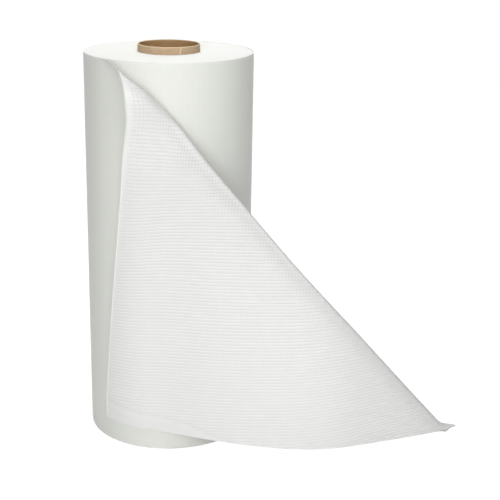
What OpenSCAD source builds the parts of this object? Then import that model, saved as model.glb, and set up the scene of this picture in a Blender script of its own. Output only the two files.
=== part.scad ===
// A roll of absorbent bench liner that stands on its end.
// The liner is one long web of embossed tissue laminated to a plastic film,
// wound film side out on a spiral-wound paperboard tube. The roll stands on
// the floor with its axis along +Z. The front of the roll is the -Y side.
// Seen from above, the web is wound counter-clockwise. Its last stretch comes
// off the front of the roll and stands on its lower edge, and its top corner
// is folded forwards and down, so that the tissue side shows.

/* [Roll] */
// Width of the web, which is the height of the roll when it stands
web_w = 508; // [300:1:700]
// Outside diameter of the wound roll
roll_d = 217.6; // [150:0.1:260]
// Radial step between the grooves that part the turns on the end faces
turn_step = 18; // [13:0.5:30]
// Depth of these grooves
turn_depth = 0.6; // [0.2:0.1:1.5]
// Width of these grooves
turn_groove = 1.1; // [0.5:0.1:2]

/* [Core] */
// Bore of the paperboard tube
core_bore_d = 76.2; // [50:0.1:100]
// Wall of the tube
core_wall = 1.8; // [1:0.1:5]
// Length of tube that stands out of the top of the roll
core_stand = 9.5; // [0:0.5:30]
// Bevel on the rim that stands out of the roll
core_bevel = 0.4; // [0.1:0.1:0.5]
// Slack between the tube and the first turn
core_slack = 0.15; // [0.05:0.05:0.5]

/* [Loose sheet] */
// Thickness of the web where it hangs free, with its loft
sheet_t = 1.2; // [0.8:0.1:2]
// Loose length along the fold, from the roll to the folded end
loose_len = 420; // [300:5:460]
// Place of the fold's start on the rim, in degrees, where 270 is the front
fold_at = 250.5; // [245:0.5:253]
// Place where the fold leaves the roll
fold_leaves = 253.5; // [253:0.5:265]
// Place where the lower edge leaves the roll
foot_leaves = 302; // [285:1:310]
// Bend radius of the fold at the rim of the roll
fold_r_rim = 26; // [12:1:32]
// Bend radius of the fold on the rest of its length
fold_r = 7.5; // [7:0.5:14]
// Bend radius of the fold where it ends at the cut end
fold_r_tip = 4; // [3.5:0.5:6]
// Height of the fold where it meets the cut end
corner_z = 16; // [12:1:25]
// Height of the folded corner above the floor
flap_z = 30; // [15:1:60]
// How far round the roll the folded corner reaches to the left of the fold's start
flap_reach = 57; // [20:1:80]
// Gap between the flap and the roll, at the mid-plane of the sheet
flap_gap = 4; // [3:0.5:8]
// Height of the loose lower edge above the floor
sheet_lift = 0.2; // [0.1:0.1:2]
// How far the cut end sticks out as an ear where the fold meets it
corner_ear = 12; // [0:1:20]
// How far the lower edge rises off the floor at the cut end
corner_lift = 7; // [0:1:8]
// Gap between the roll and the edge along which the loose sheet comes off it
lie_gap = 0.3; // [0.1:0.1:0.8]

/* [Embossing] */
// Pitch of the embossed rows on the tissue side
emboss_pitch = 12; // [10:0.5:20]
// Height of the embossed rows
emboss_h = 0.5; // [0.1:0.1:0.8]

/* [Hidden] */

// How far the outer face of the sheet lies below the roll's surface where it is still wound
sheet_sink = 0.3;
// How far the wound edge of the sheet stays below the end face
edge_sink = 0.4;
// Powers that shape the run of the fold's radius: from the rim, and to the cut end
RIM_POW = 10;
TIP_POW = 8;
// Power by which the flap's hem opens towards the cut end of the fold
HEM_POW = 6;
// Size of the ear, and its rise for each millimetre that it sticks out
ear_size = 9;
EAR_RISE = 0.4;
// Length of the lower edge over which it rises to the cut end
lift_run = 30;
// Least part of the flap's height over which it closes on the roll
HEM_LEAST = 0.02;

core_r = core_bore_d / 2;
core_out_r = core_r + core_wall;
core_len = web_w + core_stand;
roll_r = roll_d / 2;
wind_r = core_out_r + core_slack;

// Paths seen from above, each as [share of the free length, turn in degrees]
FOLD_ARCS = [[0.143, -5], [0.286, 13], [0.214, 27], [0.238, 3], [0.119, 5]];
FOOT_ARCS = [[0.121, -65], [0.181, 26], [0.212, 6], [0.181, 37], [0.305, -60]];

// Radius at which the sheet's mid-plane is wound
wrap_r = roll_r - sheet_t / 2 - sheet_sink;
fold_wrap = (fold_leaves - fold_at) * PI / 180 * wrap_r;
foot_wrap = (foot_leaves - fold_at) * PI / 180 * wrap_r;
// Distance along the web from the fold's start to the cut end
fold_s = fold_wrap + loose_len;
foot_free = fold_s - foot_wrap;

ROLL_SIDES = 180;
CORE_SIDES = 96;

// Rows across the web and columns along each row
row_step = emboss_pitch / 2;
BACK_N = 2;
BEND_N = 8;
FLAP_N = 10;
// Power that makes the flap's columns narrower where it lies round the roll
FLAP_POW = 1.2;
col_n = BACK_N + BEND_N + FLAP_N;
min_col = 1.5;

function clamp(v, lo, hi) = min(max(v, lo), hi);
function mix(a, b, t) = a + (b - a) * t;
function unit(v) = v / norm(v);
function sum_to(arcs, k, i) = i == 0 ? 0 : arcs[i - 1][k] + sum_to(arcs, k, i - 1);

// A point and a direction on an arc of length l that turns by t degrees
function along_arc(p, d, l, t, q) = abs(t) < 0.01 ?
    [p + q * [cos(d), sin(d)], d] :
    let (rho = l / (t * PI / 180), e = d + t * q / l)
    [p + rho * [sin(e) - sin(d), cos(d) - cos(e)], e];

// Starts of the arcs of a path that leaves the roll at the angle "leave"
function arc_starts(arcs, leave, free, i) = i == 0 ?
    [[wrap_r * [cos(leave), sin(leave)], leave - 270]] :
    let (before = arc_starts(arcs, leave, free, i - 1), last = before[i - 1])
    concat(before, [along_arc(last[0], last[1], free * arcs[i - 1][0], arcs[i - 1][1],
                              free * arcs[i - 1][0])]);

FOLD_STARTS = arc_starts(FOLD_ARCS, fold_leaves, loose_len, len(FOLD_ARCS));
FOOT_STARTS = arc_starts(FOOT_ARCS, foot_leaves, foot_free, len(FOOT_ARCS));

function arc_index(arcs, share, i) =
    i + 1 >= len(arcs) || share < sum_to(arcs, 0, i + 1) ? i : arc_index(arcs, share, i + 1);

// Point and direction at the distance s along a path that starts wound on the roll
function on_path(arcs, starts, wrap, free, s) = s <= wrap ?
    let (a = fold_at + s / wrap_r * 180 / PI)
    [wrap_r * [cos(a), sin(a)], a - 270] :
    let (share = (s - wrap) / free, i = arc_index(arcs, share, 0))
    along_arc(starts[i][0], starts[i][1], free * arcs[i][0], arcs[i][1],
              s - wrap - free * sum_to(arcs, 0, i));

function fold_path(s) = on_path(FOLD_ARCS, FOLD_STARTS, fold_wrap, loose_len, s);
function foot_raw(s) = on_path(FOOT_ARCS, FOOT_STARTS, foot_wrap, foot_free, s);

// The foot's path is drawn to the fold's path, which it meets at the cut end
foot_miss = fold_path(fold_s)[0] - foot_raw(fold_s)[0];
function foot_path(s) =
    foot_raw(s)[0] + foot_miss * pow(clamp((s - foot_wrap) / foot_free, 0, 1), 2);

// The fold line, in web coordinates: s along the web and z across it
FOLD_RUN = [fold_s, corner_z - web_w];
FOLD_DIR = unit(FOLD_RUN);
FOLD_OUT = [-FOLD_DIR[1], FOLD_DIR[0]];
// Length of web, before the fold's start, over which the soft bend lifts its upper edge
lift_s = PI / 2 * fold_r_rim / FOLD_OUT[0];
row_n = round((fold_s + lift_s) / row_step);
FLAP_RUN = [-flap_reach, flap_z - web_w];
flap_a = -FOLD_OUT[1] / (web_w - corner_z);
flap_b = FOLD_OUT[0] / fold_s - flap_a;
FLAP_DIR = flap_a * FOLD_RUN + flap_b * FLAP_RUN;

function fold_z(s) = web_w + clamp(s, 0, fold_s) / fold_s * (corner_z - web_w);
function hem_z(s) =
    mix(flap_z, corner_z, (clamp(s, -flap_reach, fold_s) + flap_reach) / (fold_s + flap_reach));
function bend_r(along) =
    let (t = clamp(along / norm(FOLD_RUN), 0, 1))
    fold_r + (fold_r_rim - fold_r) * pow(1 - t, RIM_POW) - (fold_r - fold_r_tip) * pow(t, TIP_POW);
// Share of the way down from the fold line to the flap's hem, for a point p = [s, z]
function below(p) =
    clamp((fold_z(p[0]) - p[1]) / max(fold_z(p[0]) - hem_z(p[0]), min_col), 0, 1);

// Place in space of the web's point at s along the web and z across it
function web_point(s, z) =
    let (q = [s, z - web_w],
         along = q * FOLD_DIR,
         off = q * FOLD_OUT,
         r = bend_r(along),
         turn = clamp(90 + off / r * 180 / PI, 0, 180),
         back = min(off + PI * r / 2, 0),
         over = max(off - PI * r / 2, 0),
         w = turn / 180,
         flat = [0, web_w] + along * FOLD_DIR + back * FOLD_OUT + over * FLAP_DIR
              + (r * sin(turn) - PI * r / 2) * mix(FOLD_OUT, -FLAP_DIR, w),
         start = min(below([0, web_w] + along * FOLD_DIR + PI * r / 2 * FLAP_DIR), 1 - HEM_LEAST),
         down = clamp((below(flat) - start) / (1 - start), 0, 1),
         hem_gap = mix(flap_gap, 2 * r, pow(clamp(flat[0] / fold_s, 0, 1), HEM_POW)),
         out = over > 0 ? mix(2 * r, hem_gap, down) : r * (1 - cos(turn)),
         rise = mix(clamp(flat[1] / fold_z(flat[0]), 0, 1), 1, w * w * (3 - 2 * w)),
         top = fold_path(flat[0]),
         plan = mix(foot_path(flat[0]), top[0], rise),
         lift = corner_lift * exp(-pow((s - fold_s) / lift_run, 2)) * max(1 - z / corner_z, 0),
         ear = corner_ear * exp(-pow(norm([s - fold_s, z - corner_z]) / ear_size, 2)))
    [plan[0] + out * sin(top[1]) + ear * cos(top[1]),
     plan[1] - out * cos(top[1]) + ear * sin(top[1]),
     flat[1] + lift + ear * EAR_RISE];

// Height across the web of column j in the row at s
function column_z(s, j) =
    let (lo = sheet_lift + sheet_t / 2 + emboss_h,
         hi = web_w - edge_sink,
         mid = fold_z(s),
         half = PI / 2 * bend_r(s * FOLD_DIR[0] + (mid - web_w) * FOLD_DIR[1]) / FOLD_OUT[1],
         back = max(mid - half - lo, BACK_N * min_col),
         flap = max(hi - mid - half, FLAP_N * min_col),
         bend = 2 * half,
         k = (hi - lo) / (back + bend + flap),
         b = min(j, BACK_N) / BACK_N,
         m = clamp(j - BACK_N, 0, BEND_N) / BEND_N,
         f = clamp(j - BACK_N - BEND_N, 0, FLAP_N) / FLAP_N)
    lo + k * (back * b + bend * m + flap * (1 - pow(1 - f, FLAP_POW)));

module core() {
    color("BurlyWood")
    rotate_extrude($fn = CORE_SIDES)
    polygon([
        [core_r, 0],
        [core_out_r, 0],
        [core_out_r, core_len - core_bevel],
        [core_out_r - core_bevel, core_len],
        [core_r + core_bevel, core_len],
        [core_r, core_len - core_bevel]
    ]);
}

// Half section of the wound turns, with a groove between each group of turns
module wound_section() {
    n = floor((roll_r - wind_r - turn_step / 2) / turn_step);
    grooves = [for (i = [1 : n]) wind_r + (roll_r - wind_r) * i / (n + 1)];
    polygon(concat(
        [[wind_r, 0]],
        [for (g = grooves, p = [[-1, 0], [0, 1], [1, 0]]) [g + p[0] * turn_groove / 2, p[1] * turn_depth]],
        [[roll_r, 0], [roll_r, web_w]],
        [for (i = [n - 1 : -1 : 0], p = [[1, 0], [0, 1], [-1, 0]])
            [grooves[i] + p[0] * turn_groove / 2, web_w - p[1] * turn_depth]],
        [[wind_r, web_w]]
    ));
}

// The loose end of the web as a closed shell: back layer, soft fold and flap
module loose_sheet() {
    mid = [for (i = [0 : row_n])
        let (s = mix(-lift_s, fold_s, i / row_n))
        [for (j = [0 : col_n]) web_point(s, column_z(s, j))]];
    across = [for (i = [0 : row_n]) [for (j = [0 : col_n])
        unit(cross(mid[min(i + 1, row_n)][j] - mid[max(i - 1, 0)][j],
                   mid[i][min(j + 1, col_n)] - mid[i][max(j - 1, 0)]))]];
    film = [for (i = [0 : row_n], j = [0 : col_n]) mid[i][j] + across[i][j] * sheet_t / 2];
    tissue = [for (i = [0 : row_n], j = [0 : col_n])
        mid[i][j] - across[i][j] * (sheet_t / 2 + emboss_h * (i % 2))];
    w = col_n + 1;
    m = (row_n + 1) * w;
    cells = [for (i = [0 : row_n - 1], j = [0 : col_n - 1]) i * w + j];
    rim = concat(
        [for (i = [0 : row_n - 1]) i * w],
        [for (j = [0 : col_n - 1]) row_n * w + j],
        [for (i = [row_n : -1 : 1]) i * w + col_n],
        [for (j = [col_n : -1 : 1]) j]);
    k = len(rim);
    polyhedron(
        points = concat(film, tissue),
        faces = concat(
            [for (c = cells, f = [[c, c + 1, c + w + 1], [c, c + w + 1, c + w]]) f],
            [for (c = cells, f = [[c, c + w + 1, c + 1], [c, c + w, c + w + 1]]) [for (v = f) v + m]],
            [for (i = [0 : k - 1], f = [[rim[i], rim[(i + 1) % k], rim[(i + 1) % k] + m],
                                        [rim[i], rim[(i + 1) % k] + m, rim[i] + m]]) f]));
}

module liner() {
    color("WhiteSmoke")
    rotate_extrude($fn = ROLL_SIDES) wound_section();
}

// The sheet up to the line along which it comes off the roll
module loose_end() {
    color("White")
    difference() {
        loose_sheet();
        translate([0, 0, -roll_r])
        cylinder(r = roll_r + lie_gap, h = web_w + roll_d, $fn = ROLL_SIDES);
    }
}

core();
liner();
loose_end();
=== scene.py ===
# %% [markdown]
# # A roll of absorbent bench liner
# The object is a roll of film-backed tissue that stands on its end on a bench. Its loose end comes off
# the front, stands on its lower edge, and has its upper corner folded forwards, so that the embossed
# tissue shows against the smooth film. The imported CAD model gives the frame: every piece below is
# made in metres in that frame, with the roll's axis along +Z and its front towards -Y.

# %% The frame
import math

import bpy
import numpy as np
from mathutils import Matrix, Vector


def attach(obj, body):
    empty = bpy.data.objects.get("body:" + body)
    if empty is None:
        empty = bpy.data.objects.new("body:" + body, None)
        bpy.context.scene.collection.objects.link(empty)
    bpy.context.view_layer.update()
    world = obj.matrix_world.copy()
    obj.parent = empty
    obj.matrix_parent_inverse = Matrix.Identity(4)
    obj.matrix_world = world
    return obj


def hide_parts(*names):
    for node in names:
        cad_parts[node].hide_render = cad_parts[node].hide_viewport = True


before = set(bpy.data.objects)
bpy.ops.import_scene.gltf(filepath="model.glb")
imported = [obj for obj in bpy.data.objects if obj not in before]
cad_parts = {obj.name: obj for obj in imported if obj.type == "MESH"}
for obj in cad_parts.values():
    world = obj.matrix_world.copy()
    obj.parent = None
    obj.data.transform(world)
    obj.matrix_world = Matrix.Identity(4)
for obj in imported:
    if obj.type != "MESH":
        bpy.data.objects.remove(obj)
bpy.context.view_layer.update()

# %% [markdown]
# ## Sizes
# The web, the roll and the tube have the sizes of the CAD source: a web 508 mm wide, wound to 217.6 mm
# on a tube with a 76.2 mm bore. Lengths are in metres, so each one is written in millimetres times MM.

# %% Sizes of the roll
MM = 0.001
WEB = 508 * MM
ROLL_R = 108.8 * MM
WIND_R = 40.05 * MM
CORE_R = 38.1 * MM
CORE_TOP = 517.5 * MM
SHEET_T = 0.6 * MM
print("roll %.1f mm across and %.0f mm high" % (2 * ROLL_R / MM, WEB / MM))

# %% [markdown]
# The fold's sizes started as the source's too. They were then moved by a few millimetres, until the
# sheet's edges lay on those in the photograph. Angles are in degrees round the roll's axis, with the
# front at 270. The fold starts on the upper rim, a little left of the front, and runs down to the far
# end of the lower edge, where the sheet is cut.

# %% Sizes of the loose end
# Where the fold starts on the rim, and where the sheet leaves the roll at its top and at its foot.
FOLD_AT = 247.4
FOLD_LEAVES = 254.3
FOOT_LEAVES = 302.0
# The fold's free length along the web, and the height of its far end.
LOOSE = 420 * MM
CORNER_Z = 16 * MM
# Where the flap's free corner comes to lie: back past the start of the fold, and up from the floor.
FLAP_REACH = 52.4 * MM
FLAP_Z = 30 * MM
# The radius of the source's sheet on the roll, along which the two wound stretches are measured.
CAD_WRAP_R = 107.9 * MM
fold_wrap = math.radians(FOLD_LEAVES - FOLD_AT) * CAD_WRAP_R
foot_wrap = math.radians(FOOT_LEAVES - FOLD_AT) * CAD_WRAP_R
FOLD_S = fold_wrap + LOOSE
print("the fold runs %.1f mm along the web" % (FOLD_S / MM))

# %% [markdown]
# ## Two paths on the floor
# Seen from above, the upper part of the sheet and its lower edge follow two different paths. Each one
# is wound on the roll at first, then runs on through a few arcs that are tangent to each other. A sheet
# that passes through both paths bends only one way at a time, as paper does. Each arc is written as its
# share of the free length and the degrees that it turns.

# %% A path of tangent arcs
FOLD_ARCS = ((0.143, -5), (0.286, 13), (0.214, 27), (0.238, 3), (0.119, 5))
FOOT_ARCS = ((0.121, -65), (0.181, 26), (0.212, 6), (0.181, 37), (0.305, -60))
# The radius of the sheet's middle on the roll, which puts its film side level with the wall.
WRAP_R = ROLL_R - SHEET_T / 2 - 0.08 * MM


def arc_path(arcs, leave, wrap, free):
    """Makes a function that gives the place and the heading at each length s along the path."""
    starts = []
    angle = math.radians(leave)
    x, y, heading = WRAP_R * math.cos(angle), WRAP_R * math.sin(angle), angle - math.pi / 2 * 3
    for share, turn in arcs:
        rho = share * free / math.radians(turn)
        starts.append((x, y, heading, rho))
        after = heading + math.radians(turn)
        x += rho * (math.sin(after) - math.sin(heading))
        y += rho * (math.cos(heading) - math.cos(after))
        heading = after
    ends = wrap + free * np.cumsum([share for share, turn in arcs])

    def place(s):
        wound = math.radians(FOLD_AT) + s / WRAP_R
        px, py, ph = WRAP_R * np.cos(wound), WRAP_R * np.sin(wound), wound - math.pi / 2 * 3
        begin = wrap
        for (x0, y0, h0, rho), end in zip(starts, ends):
            h = h0 + (s - begin) / rho
            past = s > begin
            px = np.where(past, x0 + rho * (np.sin(h) - math.sin(h0)), px)
            py = np.where(past, y0 + rho * (math.cos(h0) - np.cos(h)), py)
            ph = np.where(past, h, ph)
            begin = end
        return px, py, ph

    return place


fold_path = arc_path(FOLD_ARCS, FOLD_LEAVES, fold_wrap, LOOSE)
foot_path = arc_path(FOOT_ARCS, FOOT_LEAVES, foot_wrap, FOLD_S - foot_wrap)
fold_end = fold_path(np.array(FOLD_S))
foot_end = foot_path(np.array(FOLD_S))
foot_miss = (fold_end[0] - foot_end[0], fold_end[1] - foot_end[1])
print("fold ends at %.1f, %.1f mm; the foot misses it by %.1f, %.1f mm" % tuple(
    float(v) / MM for v in (*fold_end[:2], *foot_miss)))

# %% [markdown]
# ## The folded sheet as a function
# Cloth simulation could drop a sheet into place, but paper hardly stretches and this one has a single
# clear fold. A function keeps its length and width, and each edge can be set against the photograph.
# The sheet is described by two web coordinates: s runs along the web and z across it. The fold is a
# straight line in those coordinates, and the flap swings over it like a door.

# %% The fold line and the flap's direction
fold_run = np.array([FOLD_S, CORNER_Z - WEB])
FOLD_LEN = float(np.hypot(*fold_run))
fold_dir = fold_run / FOLD_LEN
fold_out = np.array([-fold_dir[1], fold_dir[0]])
# fold_out, the step across the fold, is a mix of the fold and the web's upper edge. The fold stays
# and the upper edge swings to the flap's free corner, so the same mix gives the step after folding.
fold_part = -fold_out[1] / (WEB - CORNER_Z)
edge_part = fold_out[0] / FOLD_S - fold_part
flap_dir = fold_part * fold_run + edge_part * np.array([-FLAP_REACH, FLAP_Z - WEB])
print("fold is %.0f mm long" % (FOLD_LEN / MM))

# %% [markdown]
# A point's distance from the fold line says how far it has gone round the bend: none on the back
# layer, 180 degrees on the flap. The bend's radius is large at the rim, where the film springs open,
# and small from there on.

# %% Round the bend
R_RIM = 25.9 * MM
R_FOLD = 4 * MM
RIM_SHARE = 0.15
LIFT_S = math.pi / 2 * R_RIM / fold_out[0]


def bend_radius(along):
    """The bend's radius, wide over the first share of the fold and tight from there on."""
    t = np.clip(1 - along / FOLD_LEN / RIM_SHARE, 0, 1)
    return R_FOLD + (R_RIM - R_FOLD) * t * t * (3 - 2 * t)


def from_fold(s, z):
    """How far web points lie along the fold line, and across it towards the flap."""
    along = s * fold_dir[0] + (z - WEB) * fold_dir[1]
    off = s * fold_out[0] + (z - WEB) * fold_out[1]
    return along, off


def fold_flat(along, off, r, turn):
    """Where web points come to lie after folding, still in the plane of the web."""
    w = turn / math.pi
    back = np.minimum(off + math.pi * r / 2, 0)
    over = np.maximum(off - math.pi * r / 2, 0)
    bulge = r * np.sin(turn) - math.pi * r / 2
    flat_s = (along * fold_dir[0] + back * fold_out[0] + over * flap_dir[0]
              + bulge * (fold_out[0] * (1 - w) - flap_dir[0] * w))
    flat_z = (WEB + along * fold_dir[1] + back * fold_out[1] + over * flap_dir[1]
              + bulge * (fold_out[1] * (1 - w) - flap_dir[1] * w))
    return flat_s, flat_z, over


print("bend radius %.0f mm at the rim, %.0f mm further down" % (R_RIM / MM, R_FOLD / MM))

# %% [markdown]
# The lower corner of the flap has lost its embossing, perhaps from having been tucked in, and leans
# in a little below a soft crease. The crease is drawn as a height above the cut end, which falls away
# from the flap's free corner.

# %% The crease near the free corner
CREASE_ACROSS = np.array([0, 40, 90, 125, 150, 182]) * MM
CREASE_UP = np.array([25, 20, 18, 14, 6, 0]) * MM
CREASE_ENDS, CREASE_FADE = 195 * MM, 40 * MM
LEAN = 0.1
VALLEY, VALLEY_HALF = 0.7 * MM, 3 * MM


def below_crease(s, z):
    """How far a point lies below the crease, in metres; negative above it."""
    return np.interp(WEB - z, CREASE_ACROSS, CREASE_UP) - (FOLD_S - s)


def crease_dent(s, z):
    """The lean of the tucked corner, and the shallow valley along the crease itself."""
    below = below_crease(s, z)
    fade = np.clip((CREASE_ENDS - (WEB - z)) / CREASE_FADE, 0, 1)
    return LEAN * np.maximum(below, 0) + VALLEY * fade * np.exp(-(below / VALLEY_HALF) ** 2)


print("crease stands %.0f mm above the cut end at the free corner" % (CREASE_UP[0] / MM))

# %% [markdown]
# The flap stands off the back layer by twice the bend's radius at the fold, and by a few millimetres
# at its hem. Only at the far end does it stay as open as the bend.

# %% How far the flap stands off
FLAP_GAP = 4 * MM
LEAST_FLAP = 1.5 * MM
# The flap starts at most this share of the way down, so that there is always a way left to its hem.
MOST_START = 0.98


def share_below(s, z):
    """Share of the way down from the fold line to the flap's hem."""
    top = WEB + np.clip(s, 0, FOLD_S) / FOLD_S * (CORNER_Z - WEB)
    t = (np.clip(s, -FLAP_REACH, FOLD_S) + FLAP_REACH) / (FOLD_S + FLAP_REACH)
    hem = FLAP_Z + (CORNER_Z - FLAP_Z) * t
    return np.clip((top - z) / np.maximum(top - hem, LEAST_FLAP), 0, 1)


def stand_off(along, r, turn, flat_s, flat_z, over):
    """Distance from the back layer: round the bend first, then closing towards the hem."""
    start = np.minimum(share_below(along * fold_dir[0] + math.pi * r / 2 * flap_dir[0],
                                   WEB + along * fold_dir[1] + math.pi * r / 2 * flap_dir[1]), MOST_START)
    down = np.clip((share_below(flat_s, flat_z) - start) / (1 - start), 0, 1)
    # The sixth power keeps the hem closed until the far end is near.
    opens = np.clip(flat_s / FOLD_S, 0, 1) ** 6
    hem_gap = FLAP_GAP * (1 - opens) + 2 * r * opens
    return np.where(over > 0, 2 * r * (1 - down) + hem_gap * down, r * (1 - np.cos(turn)))


print("the flap's hem stands %.0f mm off the back layer" % (FLAP_GAP / MM))

# %% [markdown]
# The ridge of the fold sags a few millimetres under its own weight. Near the rim the sprung film first
# lifts it and then lets it dip. That lift and dip grow round the bend: the back layer has none of them,
# the ridge two thirds, and the flap all.

# %% The sag of the ridge
SAG = 5 * MM
# The sag starts about a tenth of the way along the fold, and is fuller than half a sine wave.
SAG_FROM, SAG_POWER = 0.1, 0.7
# The dip and the lift near the rim: how deep, where along the fold, and how wide, as shares of it.
RIM_SAG, RIM_SAG_AT, RIM_SAG_HALF = 8.1 * MM, 0.17, 0.1
RIM_RISE, RIM_RISE_AT, RIM_RISE_HALF = 6.5 * MM, 0.05, 0.06


def ridge_sag(along, w, flat_s, flat_z, top_z):
    """How far each point sinks below the straight fold; w is its share of the way round the bend."""
    far = np.clip(flat_s / FOLD_S, 0, 1)
    sag = (SAG * np.sin(math.pi * np.clip(far * (1 + SAG_FROM) - SAG_FROM, 0, 1)) ** SAG_POWER
           * flat_z / top_z)
    dip = (RIM_SAG * np.exp(-((along / FOLD_LEN - RIM_SAG_AT) / RIM_SAG_HALF) ** 2)
           - RIM_RISE * np.exp(-((along / FOLD_LEN - RIM_RISE_AT) / RIM_RISE_HALF) ** 2))
    return sag + dip * 2 * w / (1 + w)


print("ridge sags %.0f mm at its middle" % (SAG / MM))

# %% [markdown]
# Last, the sheet is hung on the two paths. The back layer changes over from the lower path to the
# upper one with its height, and the flap follows the upper one alone. A few small moves make it this
# sheet and no other: the foot bows back behind the flap, the cut end lifts off the floor at its lowest
# corner, the fold's far end is pulled out to an ear, and the flap's edge keeps a set to the right near
# the rim, from having been wound.

# %% The place of each point of the web
FOOT_BOW, FOOT_BOW_AT, FOOT_BOW_HALF = 9 * MM, 290 * MM, 42 * MM
TIP_LIFT, TIP_LIFT_HALF = 7 * MM, 30 * MM
EAR, EAR_HALF, EAR_RISE = 18 * MM, 11 * MM, 0.05
EDGE_SET, EDGE_SET_Z, EDGE_SET_HALF, EDGE_SET_IN = 14.5 * MM, 458 * MM, 56 * MM, 45 * MM


def sheet_point(s, z):
    """The place in space of web points. It takes whole arrays, so one call makes the sheet."""
    along, off = from_fold(s, z)
    r = bend_radius(along)
    turn = np.clip(math.pi / 2 + off / r, 0, math.pi)
    w = turn / math.pi
    flat_s, flat_z, over = fold_flat(along, off, r, turn)
    out = stand_off(along, r, turn, flat_s, flat_z, over) - crease_dent(s, z) * (over > 0)
    top_z = WEB + np.clip(flat_s / FOLD_S, 0, 1) * (CORNER_Z - WEB)
    sag = ridge_sag(along, w, flat_s, flat_z, top_z)
    ease = w * w * (3 - 2 * w)
    rise = np.clip(flat_z / top_z, 0, 1) * (1 - ease) + ease
    tx, ty, heading = fold_path(flat_s)
    bx, by = foot_path(flat_s)[:2]
    draw = np.clip((flat_s - foot_wrap) / (FOLD_S - foot_wrap), 0, 1) ** 2
    bx, by = bx + foot_miss[0] * draw, by + foot_miss[1] * draw
    by = by + FOOT_BOW * np.exp(-((flat_s - FOOT_BOW_AT) / FOOT_BOW_HALF) ** 2)
    lift = TIP_LIFT * np.exp(-((s - FOLD_S) / TIP_LIFT_HALF) ** 2) * np.maximum(1 - z / CORNER_Z, 0)
    ear = EAR * np.exp(-((s - FOLD_S) ** 2 + (z - CORNER_Z) ** 2) / EAR_HALF ** 2)
    kept_set = np.exp(-((flat_z - sag - EDGE_SET_Z) / EDGE_SET_HALF) ** 2
                      - ((WEB - z) / EDGE_SET_IN) ** 2)
    push = ear + EDGE_SET * kept_set * ease
    return np.stack([bx + (tx - bx) * rise + out * np.sin(heading) + push * np.cos(heading),
                     by + (ty - by) * rise - out * np.cos(heading) + push * np.sin(heading),
                     flat_z - sag + lift + ear * EAR_RISE], axis=-1)


corner = sheet_point(np.array(FOLD_S), np.array(WEB))
print("free corner of the flap at", [round(float(v) / MM, 1) for v in corner], "mm")

# %% [markdown]
# ## Meshes from arrays
# A helper turns arrays of points and faces into a mesh object with smooth shading. It also stores the
# web coordinates as a UV map, counted in embossed cells, so that one cell is one unit. The masks are
# numbers from point to point that a finish can read.

# %% Helpers for pieces
CELL = 4 * MM


def make_piece(name, points, faces, uv=None, masks=None, first_faces=None):
    """Makes a mesh object; faces after the first ones take its second finish."""
    mesh = bpy.data.meshes.new(name)
    mesh.from_pydata(points.reshape(-1, 3).tolist(), [], faces.tolist())
    if uv is not None:
        corners = np.zeros(len(mesh.loops), dtype=np.int32)
        mesh.loops.foreach_get("vertex_index", corners)
        layer = mesh.uv_layers.new(name="web")
        layer.data.foreach_set("uv", uv.reshape(-1, 2)[corners].ravel().astype(np.float32))
    for key, values in (masks or {}).items():
        layer = mesh.attributes.new(key, "FLOAT", "POINT")
        layer.data.foreach_set("value", values.ravel().astype(np.float32))
    mesh.shade_smooth()
    mesh.validate()
    if first_faces is not None:
        finish_of = (np.arange(len(faces)) >= first_faces).astype(np.int32)
        mesh.polygons.foreach_set("material_index", finish_of)
    piece = bpy.data.objects.new(name, mesh)
    bpy.context.scene.collection.objects.link(piece)
    return piece


def grid_faces(rows, columns, offset=0):
    """Quads of a grid of points, row by row."""
    i, j = np.meshgrid(np.arange(rows - 1), np.arange(columns - 1), indexing="ij")
    a = (i * columns + j).ravel() + offset
    return np.stack([a, a + 1, a + columns + 1, a + columns], axis=1)


def report(piece):
    """Prints how many triangles a piece has, and its size."""
    triangles = sum(len(p.vertices) - 2 for p in piece.data.polygons)
    print("%s: %d triangles, %.0f x %.0f x %.0f mm" % (
        piece.name, triangles, *(d / MM for d in piece.dimensions)))


print("one embossed cell is %.0f mm" % (CELL / MM))

# %% [markdown]
# ## The loose end
# The real sheet is tissue laminated to film, about 0.4 mm thick, and is drawn at 0.6 mm. Each point of
# a grid on the web gets its place and the direction that its film side faces.

# %% The middle of the sheet
ALONG_POINTS, ACROSS_POINTS = 244, 200
FOOT_CLEAR, RIM_CLEAR = 0.9 * MM, 0.1 * MM
s_line = np.linspace(-LIFT_S, FOLD_S, ALONG_POINTS)
z_line = np.linspace(FOOT_CLEAR, WEB - RIM_CLEAR, ACROSS_POINTS)
S, Z = np.meshgrid(s_line, z_line, indexing="ij")
mid = sheet_point(S, Z)
normal = np.cross(np.gradient(mid, axis=0), np.gradient(mid, axis=1))
normal /= np.linalg.norm(normal, axis=2, keepdims=True)
print("grid of %d x %d points" % S.shape)

# %% [markdown]
# The tissue has an embossed waffle of small squares 4 mm apart. It is less than half a millimetre
# deep, so the finish draws it, and three masks tell the finish how. `embossed` leaves out the bands
# along both machine edges and the tucked corner, and weakens towards the floor, as in the photograph,
# where handling may have pressed the waffle flat. `opened` says how near the fold is, where the bent
# web opens the waffle's columns. `shade` is painted shade: it darkens the tissue a little along the fold.

# %% Three masks for the tissue
PRESSED_Z = np.array([100, 240, 400]) * MM
PRESSED_TO = (0.68, 0.92, 1.4)
OPEN_FROM, OPEN_HALF = 5 * MM, 24 * MM
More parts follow.
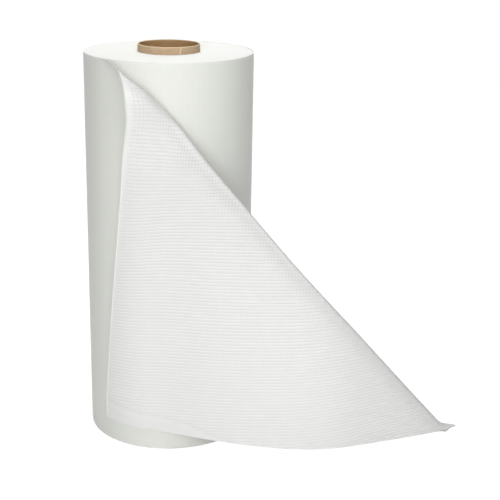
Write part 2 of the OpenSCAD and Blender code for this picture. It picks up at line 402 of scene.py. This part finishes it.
# A narrow painted shade along the fold and a wide one round it, both growing from the rim down.
NARROW, NARROW_AT, NARROW_HALF = 0.08, 8 * MM, 9 * MM
WIDE, WIDE_HALF = 0.05, 40 * MM
SHADE_GROWS = 0.35
edge_band = np.clip((WEB - Z) / CELL - 1, 0, 1) * np.clip(Z / CELL - 1, 0, 1)
embossed = edge_band * np.clip(1 - below_crease(S, Z) / VALLEY_HALF, 0, 1)
embossed = embossed * np.interp(mid[..., 2], PRESSED_Z, PRESSED_TO)
along_fold, past_fold = from_fold(S, Z)
opened = np.exp(-(np.maximum(past_fold - OPEN_FROM, 0) / OPEN_HALF) ** 2)
from_rim = np.clip(along_fold / FOLD_LEN / SHADE_GROWS, 0, 1)
shade = 1 - from_rim * (NARROW * np.exp(-((past_fold - NARROW_AT) / NARROW_HALF) ** 2)
                        + WIDE * np.exp(-(past_fold / WIDE_HALF) ** 2))
print("waffle kept on %.0f %% of the sheet" % (100 * (embossed > 0).mean()))

# %% [markdown]
# Both sides and the four edges make one closed shell. The first finish is the film, the second is the
# tissue, and the cut edges belong to the tissue. Where the sheet starts it is still the roll's last
# turn and has no edge, so it sinks below the roll's wall there. The rows of the waffle are a little
# askew to the web: they lie level on the flap, as they do in the photograph.

# %% The closed shell
ROW_SKEW = 0.1
SINK, SINK_OVER = 0.6 * MM, 25 * MM
emerging = np.clip((S - s_line[0]) / SINK_OVER, 0, 1)
mid = mid - normal * (SINK * (1 - emerging) ** 2)[..., None]
film_side = mid + normal * SHEET_T / 2
tissue_side = mid - normal * SHEET_T / 2
rows, columns = S.shape
count = rows * columns
film_faces = grid_faces(rows, columns)
tissue_faces = grid_faces(rows, columns, count)[:, ::-1]
rim = np.concatenate([
    np.arange(rows - 1) * columns,
    (rows - 1) * columns + np.arange(columns - 1),
    np.arange(rows - 1, 0, -1) * columns + columns - 1,
    np.arange(columns - 1, 0, -1)])
following = np.roll(rim, -1)
rim_faces = np.stack([rim, following, following + count, rim + count], axis=1)
sheet_points = np.concatenate([film_side.reshape(-1, 3), tissue_side.reshape(-1, 3)])
web_uv = np.stack([(S - FOLD_S + ROW_SKEW * (WEB - Z)) / CELL, Z / CELL], axis=-1).reshape(-1, 2)
sheet_piece = make_piece(
    "loose_sheet", sheet_points,
    np.concatenate([film_faces[:, ::-1], tissue_faces[:, ::-1], rim_faces]),
    uv=np.concatenate([web_uv, web_uv]),
    masks={"embossed": np.tile(embossed.ravel(), 2), "opened": np.tile(opened.ravel(), 2),
           "shade": np.tile(shade.ravel(), 2)},
    first_faces=len(film_faces))
report(sheet_piece)

# %% [markdown]
# ## The wound turns
# The web is one long spiral. A turn is only about 0.35 mm thick, too fine to show here, so the end
# faces are drawn as a coarser spiral of 1.4 mm, with each turn standing a little higher or lower than
# the next, as the edges of a wound web do. It is a real spiral: each turn's line runs on into the next.
# Flat faces with drawn rings would be simpler, but then no edge would catch the light.

# %% The film wall's radius
AROUND = 288
WALL_SLACK = 0.12 * MM
RIM_ROUND, RIM_DROP = 5 * MM, 0.9 * MM


def wall_radius(angle, z):
    """The film wall: slightly slack in long upright waves, and rounded at both rims."""
    # 3, 7 and 23 waves go round the roll, a tenth of a millimetre high and less.
    slack = (0.10 * np.sin(3 * angle + 0.6) + 0.06 * np.sin(7 * angle + 1.9)
             + 0.03 * np.sin(23 * angle + 2 * np.sin(2 * angle))) * MM
    near = np.clip(1 - np.minimum(z, WEB - z) / RIM_ROUND, 0, 1)
    return ROLL_R - WALL_SLACK + slack - RIM_DROP * near ** 2.5


print("wall at mid height %.2f mm from the axis" % (wall_radius(0.0, WEB / 2) / MM))

# %% [markdown]
# Three lines run along each turn: its inner edge in the groove, and the two sides of its crest. The
# steps between those lines are the faces.

# %% A spiral end face
TURN = 1.375 * MM
turns = round((ROLL_R - WIND_R) / TURN)
TURN_LINES = ((0.0, 0.55 * MM), (0.3, 0.0), (0.85, 0.06 * MM))
FACE_DROP = 0.3 * MM
CLEAR = 0.02 * MM
# Some turns stand higher than others, by up to this many millimetres.
RAGGED = 0.28
rng = np.random.default_rng(7)
turn_height = rng.uniform(0, RAGGED, turns + 2) * MM


def spiral_face(z0, up):
    """Points and faces of an end face at the height z0; up is 1 for the top and -1 for the foot."""
    t = np.arange(turns * AROUND + AROUND + 1)
    angle = t / AROUND * 2 * math.pi
    inner = WIND_R + (t / AROUND - 1) * TURN
    turn_index = np.minimum(t // AROUND, turns)
    blend = (t % AROUND) / AROUND
    high = turn_height[turn_index] * (1 - blend) + turn_height[turn_index + 1] * blend
    rim_r = wall_radius(angle, np.full_like(angle, z0))
    points = []
    for share, drop in TURN_LINES:
        r = np.clip(inner + share * TURN, WIND_R, rim_r)
        z = z0 - up * (CLEAR + drop + FACE_DROP - high)
        z = np.where(r >= rim_r - 1e-6, z0, z)
        points.append(np.stack([r * np.cos(angle), r * np.sin(angle), z], axis=-1))
    points = np.stack(points, axis=1)
    t0 = np.arange(turns * AROUND)
    quads = []
    for a, b, step in ((0, 1, 0), (1, 2, 0), (2, 0, AROUND)):
        quads.append(np.stack([t0 * 3 + a, (t0 + step) * 3 + b,
                               (t0 + 1 + step) * 3 + b, (t0 + 1) * 3 + a], axis=1))
    quads = np.concatenate(quads)
    return points.reshape(-1, 3), quads if up > 0 else quads[:, ::-1]


top_points, top_faces = spiral_face(WEB, 1)
bottom_points, bottom_faces = spiral_face(0.0, -1)
print("%d turns drawn on each end face" % turns)

# %% [markdown]
# The wall's rings of points lie close together at both rims, where it is rounded, and 16 mm apart
# between them. The wall carries web coordinates too, so that the film's lines stand upright on it.

# %% The film wall and the whole roll
wall_z = np.concatenate([np.linspace(0, 5, 6), np.linspace(17, 491, 30), np.linspace(503, 508, 6)]) * MM
wall_angle = np.arange(AROUND + 1) / AROUND * 2 * math.pi
WA, WZ = np.meshgrid(wall_angle, wall_z, indexing="ij")
WR = wall_radius(WA, WZ)
wall_points = np.stack([WR * np.cos(WA), WR * np.sin(WA), WZ], axis=-1).reshape(-1, 3)
wall_faces = grid_faces(AROUND + 1, len(wall_z))
wall_s = (WA - math.radians(FOLD_AT)) * ROLL_R - FOLD_S
wall_uv = np.stack([wall_s / CELL, WZ / CELL], axis=-1).reshape(-1, 2)
n_wall, n_top = len(wall_points), len(top_points)
roll_points = np.concatenate([wall_points, top_points, bottom_points])
roll_faces = np.concatenate([wall_faces[:, ::-1], top_faces + n_wall, bottom_faces + n_wall + n_top])
face_uv = roll_points[n_wall:, :2] / CELL
roll_piece = make_piece("wound_web", roll_points, roll_faces, uv=np.concatenate([wall_uv, face_uv]),
                        first_faces=len(wall_faces))
report(roll_piece)

# %% [markdown]
# ## Finishes
# Each finish starts from what the real material is. Colours are written as sRGB hex values, as they
# would be picked from a swatch, and one function turns them to the linear values that shaders use.

# %% Helpers for finishes
def linear(hex_value):
    """Turns an sRGB hex colour to linear red, green, blue and alpha."""
    channels = [int(hex_value[i:i + 2], 16) / 255 for i in (1, 3, 5)]
    return [c / 12.92 if c <= 0.04045 else ((c + 0.055) / 1.055) ** 2.4 for c in channels] + [1.0]


def add(tree, kind, links=None, **settings):
    """Adds a node. Settings are its properties; links give each socket a value or a socket to follow."""
    made = tree.nodes.new(kind)
    for key, value in settings.items():
        setattr(made, key, value)
    for key, value in (links or {}).items():
        if isinstance(value, bpy.types.NodeSocket):
            tree.links.new(value, made.inputs[key])
        else:
            made.inputs[key].default_value = value
    return made


def new_finish(name, roughness, ior):
    """Makes a material, and returns it with its node tree and its main shader."""
    finish = bpy.data.materials.new(name)
    finish.use_nodes = True
    shader = finish.node_tree.nodes["Principled BSDF"]
    shader.inputs["Roughness"].default_value = roughness
    shader.inputs["IOR"].default_value = ior
    return finish, finish.node_tree, shader


print("the swatch #808080 is %.3f in linear light" % linear("#808080")[0])

# %% [markdown]
# ### Polyethylene film over tissue
# The outside of the roll is thin polyethylene film, cast smooth and laminated to the tissue. It has a
# soft, slightly waxy gloss (IOR 1.51) and a faint green-grey cast, because what the tissue sends back
# has passed the film twice. Wound under tension it shows fine upright lines about 7 mm apart, and the
# embossing of the tissue shows through very weakly. The embossing is made of two sine waves, one along
# each direction of the web. Both finishes need it, so one function draws it for them.

# %% The embossing as a height, in cells of the web
def embossing(tree):
    """Returns the web, its cells, the height of the waffle, and the grooves of its rows and columns."""
    web = add(tree, "ShaderNodeUVMap", uv_map="web")
    cells = add(tree, "ShaderNodeSeparateXYZ", {0: web.outputs[0]})
    waves = []
    for axis in (0, 1):
        phase = add(tree, "ShaderNodeMath", {0: cells.outputs[axis], 1: math.pi}, operation="MULTIPLY")
        wave = add(tree, "ShaderNodeMath", {0: phase.outputs[0]}, operation="SINE")
        waves.append(add(tree, "ShaderNodeMath", {0: wave.outputs[0]}, operation="ABSOLUTE"))
    deep = add(tree, "ShaderNodeMath", {0: waves[0].outputs[0], 1: 0.85}, operation="MULTIPLY")
    pillow = add(tree, "ShaderNodeMath", {0: waves[1].outputs[0], 1: 0.15, 2: deep.outputs[0]},
                 operation="MULTIPLY_ADD")
    row = add(tree, "ShaderNodeMapRange", {0: waves[0].outputs[0], 1: 0.0, 2: 0.5, 3: 1.0, 4: 0.0})
    column = add(tree, "ShaderNodeMapRange", {0: waves[1].outputs[0], 1: 0.0, 2: 0.5, 3: 1.0, 4: 0.0})
    return web, cells, pillow, row, column


# %% Film finish
# Patterns are counted per embossed cell. The upright lines come out 7.3 mm apart and 333 mm long, and
# the clouds in the cast 133 mm wide.
LINES_ACROSS, LINES_ALONG, CLOUDS = 0.55, 0.012, 0.03
film, tree, shader = new_finish("polyethylene_film", 0.38, 1.51)
shader.inputs["Specular IOR Level"].default_value = 0.18
web, cells, pillow, row, column = embossing(tree)
pressed = add(tree, "ShaderNodeMath", {0: row.outputs[0], 1: column.outputs[0]}, operation="MAXIMUM")
line_map = add(tree, "ShaderNodeMapping", {0: web.outputs[0],
                                           "Scale": (LINES_ACROSS, LINES_ALONG, 1.0)})
lines = add(tree, "ShaderNodeTexNoise", {"Vector": line_map.outputs[0], "Scale": 1.0, "Detail": 3.0})
cast = add(tree, "ShaderNodeTexNoise", {"Vector": web.outputs[0], "Scale": CLOUDS, "Detail": 2.0})
tone = add(tree, "ShaderNodeMix", {0: cast.outputs[0], 6: linear("#E0E2DC"), 7: linear("#E5E6E1")},
           data_type="RGBA")
patch = add(tree, "ShaderNodeMapRange", {0: cast.outputs[0], 1: 0.42, 2: 0.62, 3: 0.0, 4: -0.06})
through = add(tree, "ShaderNodeMath", {0: pressed.outputs[0], 1: patch.outputs[0], 2: 1.0},
              operation="MULTIPLY_ADD")
shown = add(tree, "ShaderNodeVectorMath", {0: tone.outputs[2], "Scale": through.outputs[0]},
            operation="SCALE")
emboss_bump = add(tree, "ShaderNodeBump", {"Height": pillow.outputs[0], "Strength": 0.7,
                                           "Distance": 0.15 * MM})
line_bump = add(tree, "ShaderNodeBump", {"Height": lines.outputs[0], "Strength": 0.5,
                                         "Distance": 0.4 * MM, "Normal": emboss_bump.outputs[0]})
tree.links.new(shown.outputs[0], shader.inputs["Base Color"])
tree.links.new(line_bump.outputs[0], shader.inputs["Normal"])
print("film finish has %d nodes" % len(tree.nodes))

# %% [markdown]
# ### Embossed tissue
# The inside is absorbent tissue: creped cellulose, embossed with a waffle. It is white, matt and a
# little fuzzy, so it gets a high roughness and a trace of sheen. The rows show everywhere, the columns
# mainly near the fold, where the bent web opens them. One bump draws the waffle, 0.42 mm deep, and
# another adds the crepe, whose ripples of about 0.5 mm are drawn at 0.9 mm so that they show. Clouds
# of fibre 16 mm across vary the tone by a hundredth or so. The band along the machine edge, where the
# embossing stops, is a shade lighter and warmer.

# %% Tissue finish
# The grooves are drawn darker by this share: partly painted shade in the hollows, partly film showing
# through where the tissue is bonded.
GROOVE_TONE = -0.1
# How many clouds of fibre and ripples of crepe fall on one embossed cell.
FIBRE_CLOUDS, CREPE_RIPPLES = 0.25, 4.5
tissue, tree, shader = new_finish("embossed_tissue", 0.9, 1.46)
shader.inputs["Sheen Weight"].default_value = 0.08
shader.inputs["Sheen Roughness"].default_value = 0.5
shader.inputs["Specular IOR Level"].default_value = 0.25
web, cells, pillow, row, column = embossing(tree)
near_fold = add(tree, "ShaderNodeAttribute", attribute_name="opened")
weight = add(tree, "ShaderNodeMapRange", {0: near_fold.outputs["Fac"], 3: 0.25, 4: 1.0})
shown = add(tree, "ShaderNodeMath", {0: column.outputs[0], 1: weight.outputs[0]}, operation="MULTIPLY")
pressed = add(tree, "ShaderNodeMath", {0: row.outputs[0], 1: shown.outputs[0]}, operation="MAXIMUM")
edge = add(tree, "ShaderNodeMapRange", {0: cells.outputs[1], 1: WEB / CELL - 1.2, 2: WEB / CELL - 0.6})
fibre = add(tree, "ShaderNodeTexNoise", {"Vector": web.outputs[0], "Scale": FIBRE_CLOUDS,
                                         "Detail": 4.0})
cream = add(tree, "ShaderNodeMix", {0: edge.outputs[0], 6: linear("#E9E9E8"), 7: linear("#EBEBE8")},
            data_type="RGBA")
fleck = add(tree, "ShaderNodeMapRange", {0: fibre.outputs[0], 1: 0.3, 2: 0.7, 3: 0.985, 4: 1.0})
mask = add(tree, "ShaderNodeAttribute", attribute_name="embossed")
groove = add(tree, "ShaderNodeMath", {0: pressed.outputs[0], 1: mask.outputs["Fac"]},
             operation="MULTIPLY")
dim = add(tree, "ShaderNodeMath", {0: groove.outputs[0], 1: GROOVE_TONE, 2: fleck.outputs[0]},
          operation="MULTIPLY_ADD")
# The tissue's tone is multiplied by the painted shade along the fold.
shaded = add(tree, "ShaderNodeAttribute", attribute_name="shade")
level = add(tree, "ShaderNodeMath", {0: dim.outputs[0], 1: shaded.outputs["Fac"]}, operation="MULTIPLY")
tinted = add(tree, "ShaderNodeVectorMath", {0: cream.outputs[2], "Scale": level.outputs[0]},
             operation="SCALE")
crepe = add(tree, "ShaderNodeTexNoise", {"Vector": web.outputs[0], "Scale": CREPE_RIPPLES,
                                         "Detail": 3.0})
height = add(tree, "ShaderNodeMath", {0: pillow.outputs[0], 1: mask.outputs["Fac"]},
             operation="MULTIPLY")
emboss_bump = add(tree, "ShaderNodeBump", {"Height": height.outputs[0], "Strength": 1.0,
                                           "Distance": 0.42 * MM})
crepe_bump = add(tree, "ShaderNodeBump", {"Height": crepe.outputs[0], "Strength": 0.3,
                                          "Distance": 0.12 * MM, "Normal": emboss_bump.outputs[0]})
tree.links.new(tinted.outputs[0], shader.inputs["Base Color"])
tree.links.new(crepe_bump.outputs[0], shader.inputs["Normal"])
print("tissue finish has %d nodes" % len(tree.nodes))

# %% [markdown]
# ### The cut edges of the turns
# On the end faces the eye sees the knife-cut edges of many turns of tissue: white, matt, and slightly
# uneven. The finish is the tissue's without its embossing, with rings 0.42 mm apart for the real
# turns between the drawn ones.

# %% Cut edge finish
RINGS_PER_METRE = 2400.0
cut_edge, tree, shader = new_finish("knife_cut_tissue", 0.85, 1.46)
shader.inputs["Specular IOR Level"].default_value = 0.25
spot = add(tree, "ShaderNodeTexCoord")
flat = add(tree, "ShaderNodeVectorMath", {0: spot.outputs["Object"], 1: (1.0, 1.0, 0.0)},
           operation="MULTIPLY")
radius = add(tree, "ShaderNodeVectorMath", {0: flat.outputs[0]}, operation="LENGTH")
ring = add(tree, "ShaderNodeTexNoise", {"W": radius.outputs[1], "Scale": RINGS_PER_METRE,
                                        "Detail": 2.0}, noise_dimensions="1D")
ring_tone = add(tree, "ShaderNodeMix", {0: ring.outputs[0], 6: linear("#F4F5F1"), 7: linear("#FCFCFA")},
                data_type="RGBA")
ring_bump = add(tree, "ShaderNodeBump", {"Height": ring.outputs[0], "Strength": 0.3,
                                         "Distance": 0.2 * MM})
tree.links.new(ring_tone.outputs[2], shader.inputs["Base Color"])
tree.links.new(ring_bump.outputs[0], shader.inputs["Normal"])
print("cut edge finish has %d nodes" % len(tree.nodes))

# %% [markdown]
# ### Spiral-wound paperboard
# The tube is wound from strips of kraft board. Outside it is tan, with fibres that run with the
# strips; the seam between two strips climbs round it as a steep line. The inside ply is browner, and
# the knife-cut rim is paler. One material reads the radius and the height to tell these apart.

# %% Paperboard: where each point lies on the tube
# The seam turns 6 radians round the tube for each metre that it climbs. It meets the rim at the front
# right, 1.17 radians from +X towards the front.
SEAM_TURN = 6.0
SEAM_AT = SEAM_TURN * CORE_TOP + 1.17
board, tree, shader = new_finish("kraft_paperboard", 0.82, 1.5)
shader.inputs["Specular IOR Level"].default_value = 0.3
spot = add(tree, "ShaderNodeTexCoord")
part = add(tree, "ShaderNodeSeparateXYZ", {0: spot.outputs["Object"]})
angle = add(tree, "ShaderNodeMath", {0: part.outputs[1], 1: part.outputs[0]}, operation="ARCTAN2")
climb = add(tree, "ShaderNodeMath", {0: part.outputs[2], 1: -SEAM_TURN, 2: angle.outputs[0]},
            operation="MULTIPLY_ADD")
flat = add(tree, "ShaderNodeVectorMath", {0: spot.outputs["Object"], 1: (1.0, 1.0, 0.0)},
           operation="MULTIPLY")
radius = add(tree, "ShaderNodeVectorMath", {0: flat.outputs[0]}, operation="LENGTH")
inside = add(tree, "ShaderNodeMapRange", {0: radius.outputs[1], 1: CORE_R + 0.3 * MM,
                                          2: CORE_R + 0.1 * MM})
rim_mask = add(tree, "ShaderNodeMapRange", {0: part.outputs[2], 1: CORE_TOP - 1.1 * MM,
                                            2: CORE_TOP - 0.7 * MM})
print("seam passes the rim %.2f radians round the tube" % ((SEAM_TURN * CORE_TOP - SEAM_AT) % math.tau))

# %% Paperboard: fibres, seam and tones
# The grain times the fineness counts fibres per radian round the tube, and per metre up the tube and
# through its wall. On the outside they come out 11 mm long, 1.1 mm wide and 0.8 mm deep.
FIBRE_GRAIN, FIBRE_FINENESS = (1.2, 300.0, 400.0), 3.0
fibre_map = add(tree, "ShaderNodeCombineXYZ", {0: climb.outputs[0], 1: part.outputs[2],
                                               2: radius.outputs[1]})
fibre_scale = add(tree, "ShaderNodeMapping", {0: fibre_map.outputs[0], "Scale": FIBRE_GRAIN})
fibre = add(tree, "ShaderNodeTexNoise", {"Vector": fibre_scale.outputs[0], "Scale": FIBRE_FINENESS,
                                         "Detail": 5.0})
outer_tone = add(tree, "ShaderNodeMix", {0: fibre.outputs[0], 6: linear("#A28769"),
                                         7: linear("#D0B899")}, data_type="RGBA")
inner_tone = add(tree, "ShaderNodeMix", {0: fibre.outputs[0], 6: linear("#9A7448"),
                                         7: linear("#CDAC82")}, data_type="RGBA")
skin = add(tree, "ShaderNodeMix", {0: inside.outputs[0], 6: outer_tone.outputs[2],
                                   7: inner_tone.outputs[2]}, data_type="RGBA")
rimmed = add(tree, "ShaderNodeMix", {0: rim_mask.outputs[0], 6: skin.outputs[2],
                                     7: linear("#D8C2A0")}, data_type="RGBA")
seam_at = add(tree, "ShaderNodeMath", {0: climb.outputs[0], 1: SEAM_AT}, operation="ADD")
seam_wrap = add(tree, "ShaderNodeMath", {0: seam_at.outputs[0], 1: -math.pi, 2: math.pi},
                operation="WRAP")
seam_off = add(tree, "ShaderNodeMath", {0: seam_wrap.outputs[0]}, operation="ABSOLUTE")
seam = add(tree, "ShaderNodeMapRange", {0: seam_off.outputs[0], 1: 0.008, 2: 0.022, 3: 1.0, 4: 0.0})
seamed = add(tree, "ShaderNodeMix", {0: seam.outputs[0], 6: rimmed.outputs[2],
                                     7: linear("#DCC8A8")}, data_type="RGBA")
seam_side = add(tree, "ShaderNodeMapRange", {0: seam_wrap.outputs[0], 1: -0.03, 2: 0.03})
fibre_bump = add(tree, "ShaderNodeBump", {"Height": fibre.outputs[0], "Strength": 0.5,
                                          "Distance": 0.15 * MM})
seam_bump = add(tree, "ShaderNodeBump", {"Height": seam_side.outputs[0], "Strength": 0.8,
                                         "Distance": 0.4 * MM, "Normal": fibre_bump.outputs[0]})
tree.links.new(seamed.outputs[2], shader.inputs["Base Color"])
tree.links.new(seam_bump.outputs[0], shader.inputs["Normal"])
print("paperboard finish has %d nodes" % len(tree.nodes))

# %% [markdown]
# ## Putting the pieces on the frame
# Both web pieces stand for their CAD nodes. The tube's CAD shape is right as it is, so it stays and
# only takes the paperboard finish.

# %% Finishes and nodes
for piece, second, slot in ((roll_piece, cut_edge, "wound_web"), (sheet_piece, tissue, "loose_web")):
    piece.data.materials.append(film)
    piece.data.materials.append(second)
    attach(piece, "root")
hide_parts("liner")
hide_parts("loose_end")
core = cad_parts["core"]
core.data.materials.clear()
core.data.materials.append(board)
print("flat loose end: %.0f x %.0f mm" % ((FOLD_S + LIFT_S) / MM, WEB / MM))

# %% [markdown]
# ## Floor and light
# The photograph has a pure white ground. The floor and the world look white to the camera and in
# reflections, but light the object at a plain level. The floor keeps a little of the object's shadow:
# the camera sees 83 parts of glow to 17 of a matt surface that can be in shade.

# %% White ground
FLOOR_HALF = 12.0
GLOW_SHARE = 0.83


def seen_share(tree):
    """1 for rays from the camera, off a gloss or through glass, and 0 for rays that light the object."""
    path = add(tree, "ShaderNodeLightPath")
    seen = add(tree, "ShaderNodeMath", {0: path.outputs["Is Camera Ray"],
                                        1: path.outputs["Is Glossy Ray"]}, operation="MAXIMUM")
    return add(tree, "ShaderNodeMath", {0: seen.outputs[0], 1: path.outputs["Is Transmission Ray"]},
               operation="MAXIMUM")


corners = [(x * FLOOR_HALF, y * FLOOR_HALF, 0.0) for x, y in ((-1, -1), (1, -1), (1, 1), (-1, 1))]
floor = make_piece("floor", np.array(corners), np.array([[0, 1, 2, 3]]))
ground = bpy.data.materials.new("matt_white_floor")
ground.use_nodes = True
tree = ground.node_tree
tree.nodes.clear()
matt = add(tree, "ShaderNodeBsdfDiffuse", {"Color": linear("#E8E8E6")})
glow = add(tree, "ShaderNodeEmission", {"Color": (1.0, 1.0, 1.0, 1.0), "Strength": 1.2})
share = add(tree, "ShaderNodeMath", {0: seen_share(tree).outputs[0], 1: GLOW_SHARE},
            operation="MULTIPLY")
mixed = add(tree, "ShaderNodeMixShader", {0: share.outputs[0], 1: matt.outputs[0], 2: glow.outputs[0]})
add(tree, "ShaderNodeOutputMaterial", {0: mixed.outputs[0]})
floor.data.materials.append(ground)
print("floor %.0f m wide" % (2 * FLOOR_HALF))

# %% [markdown]
# The world does the same for the sky. What it gives to the object comes almost only from the front: it
# grows with how far a direction points to -Y, so the roll's wall darkens towards both sides.

# %% World
FRONT_LIGHT = 0.6
LEAST_LIGHT = 0.03
world = bpy.data.worlds.new("studio")
world.use_nodes = True
tree = world.node_tree
tree.nodes.clear()
spot = add(tree, "ShaderNodeTexCoord")
aim = add(tree, "ShaderNodeSeparateXYZ", {0: spot.outputs["Generated"]})
front = add(tree, "ShaderNodeMath", {0: aim.outputs[1], 1: -FRONT_LIGHT}, operation="MULTIPLY")
dome = add(tree, "ShaderNodeMath", {0: front.outputs[0], 1: LEAST_LIGHT}, operation="MAXIMUM")
level = add(tree, "ShaderNodeMix", {0: seen_share(tree).outputs[0], 2: dome.outputs[0], 3: 1.0},
            data_type="FLOAT")
sky = add(tree, "ShaderNodeBackground", {"Color": (1.0, 1.0, 1.0, 1.0), "Strength": level.outputs[0]})
add(tree, "ShaderNodeOutputWorld", {0: sky.outputs[0]})
bpy.context.scene.world = world
print("world gives %.2f from the front and %.2f elsewhere" % (FRONT_LIGHT, LEAST_LIGHT))

# %% [markdown]
# The lamps were fitted to the tones of the photograph. Three small soft lights stand in front, the
# strongest low on the left, so that the level falls off towards the pinched corner. One above and one
# behind light the end face and the ridge of the fold.

# %% Soft lights
LIT_POINT = (0.1, -0.05, 0.27)
SOFTBOXES = (("near_softbox", (-0.1, -1.3, 1.0), 0.6, 3.6),
             ("left_softbox", (-0.35, -1.6, 0.55), 0.6, 6.9),
             ("right_softbox", (0.6, -1.6, 0.5), 0.8, 3.5),
             ("top_softbox", (0.1, -0.2, 2.2), 1.2, 14.5),
             ("back_softbox", (0.0, 1.3, 1.9), 1.2, 18.4))
for name, place, size, watts in SOFTBOXES:
    lamp = bpy.data.lights.new(name, "AREA")
    lamp.shape = "SQUARE"
    lamp.size = size
    lamp.energy = watts
    light = bpy.data.objects.new(name, lamp)
    bpy.context.scene.collection.objects.link(light)
    aim = (Vector(LIT_POINT) - Vector(place)).to_track_quat("-Z", "Y")
    light.matrix_world = Matrix.Translation(place) @ aim.to_matrix().to_4x4()

# %% [markdown]
# ## Camera
# The camera was solved from the outline of the roll in the photograph, taken as a cylinder: the
# slopes of its sides, the ellipse of its rim and the arc of its foot. It stands 1.5 m in front at a
# height of 0.71 m and looks 17 degrees down, through a lens of 83 mm on a 36 mm sensor.

# %% Camera
PHOTO_WIDTH = 500
FOCAL_PX = 1157.9
CAMERA_AT = (0.0, -1.4911, 0.7104)
yaw, pitch, roll = 0.0726, 0.3045, 0.0177
forward = Vector((math.sin(yaw) * math.cos(pitch), math.cos(yaw) * math.cos(pitch), -math.sin(pitch)))
level_right = Vector((math.cos(yaw), -math.sin(yaw), 0.0))
level_up = level_right.cross(forward)
right = math.cos(roll) * level_right + math.sin(roll) * level_up
up = math.cos(roll) * level_up - math.sin(roll) * level_right
lens = bpy.data.cameras.new("camera")
lens.sensor_width = 36.0
lens.lens = FOCAL_PX / PHOTO_WIDTH * lens.sensor_width
lens.clip_start = 0.05
camera = bpy.data.objects.new("camera", lens)
bpy.context.scene.collection.objects.link(camera)
turned = Matrix((right, up, -forward)).transposed().to_4x4()
camera.matrix_world = Matrix.Translation(CAMERA_AT) @ turned
bpy.context.scene.camera = camera
print("lens %.1f mm, %.1f degrees down" % (lens.lens, math.degrees(pitch)))

# %% [markdown]
# ## Finish
# The view transform is Standard, so that colours render as they are written.

# %% View transform
bpy.context.scene.view_settings.view_transform = "Standard"
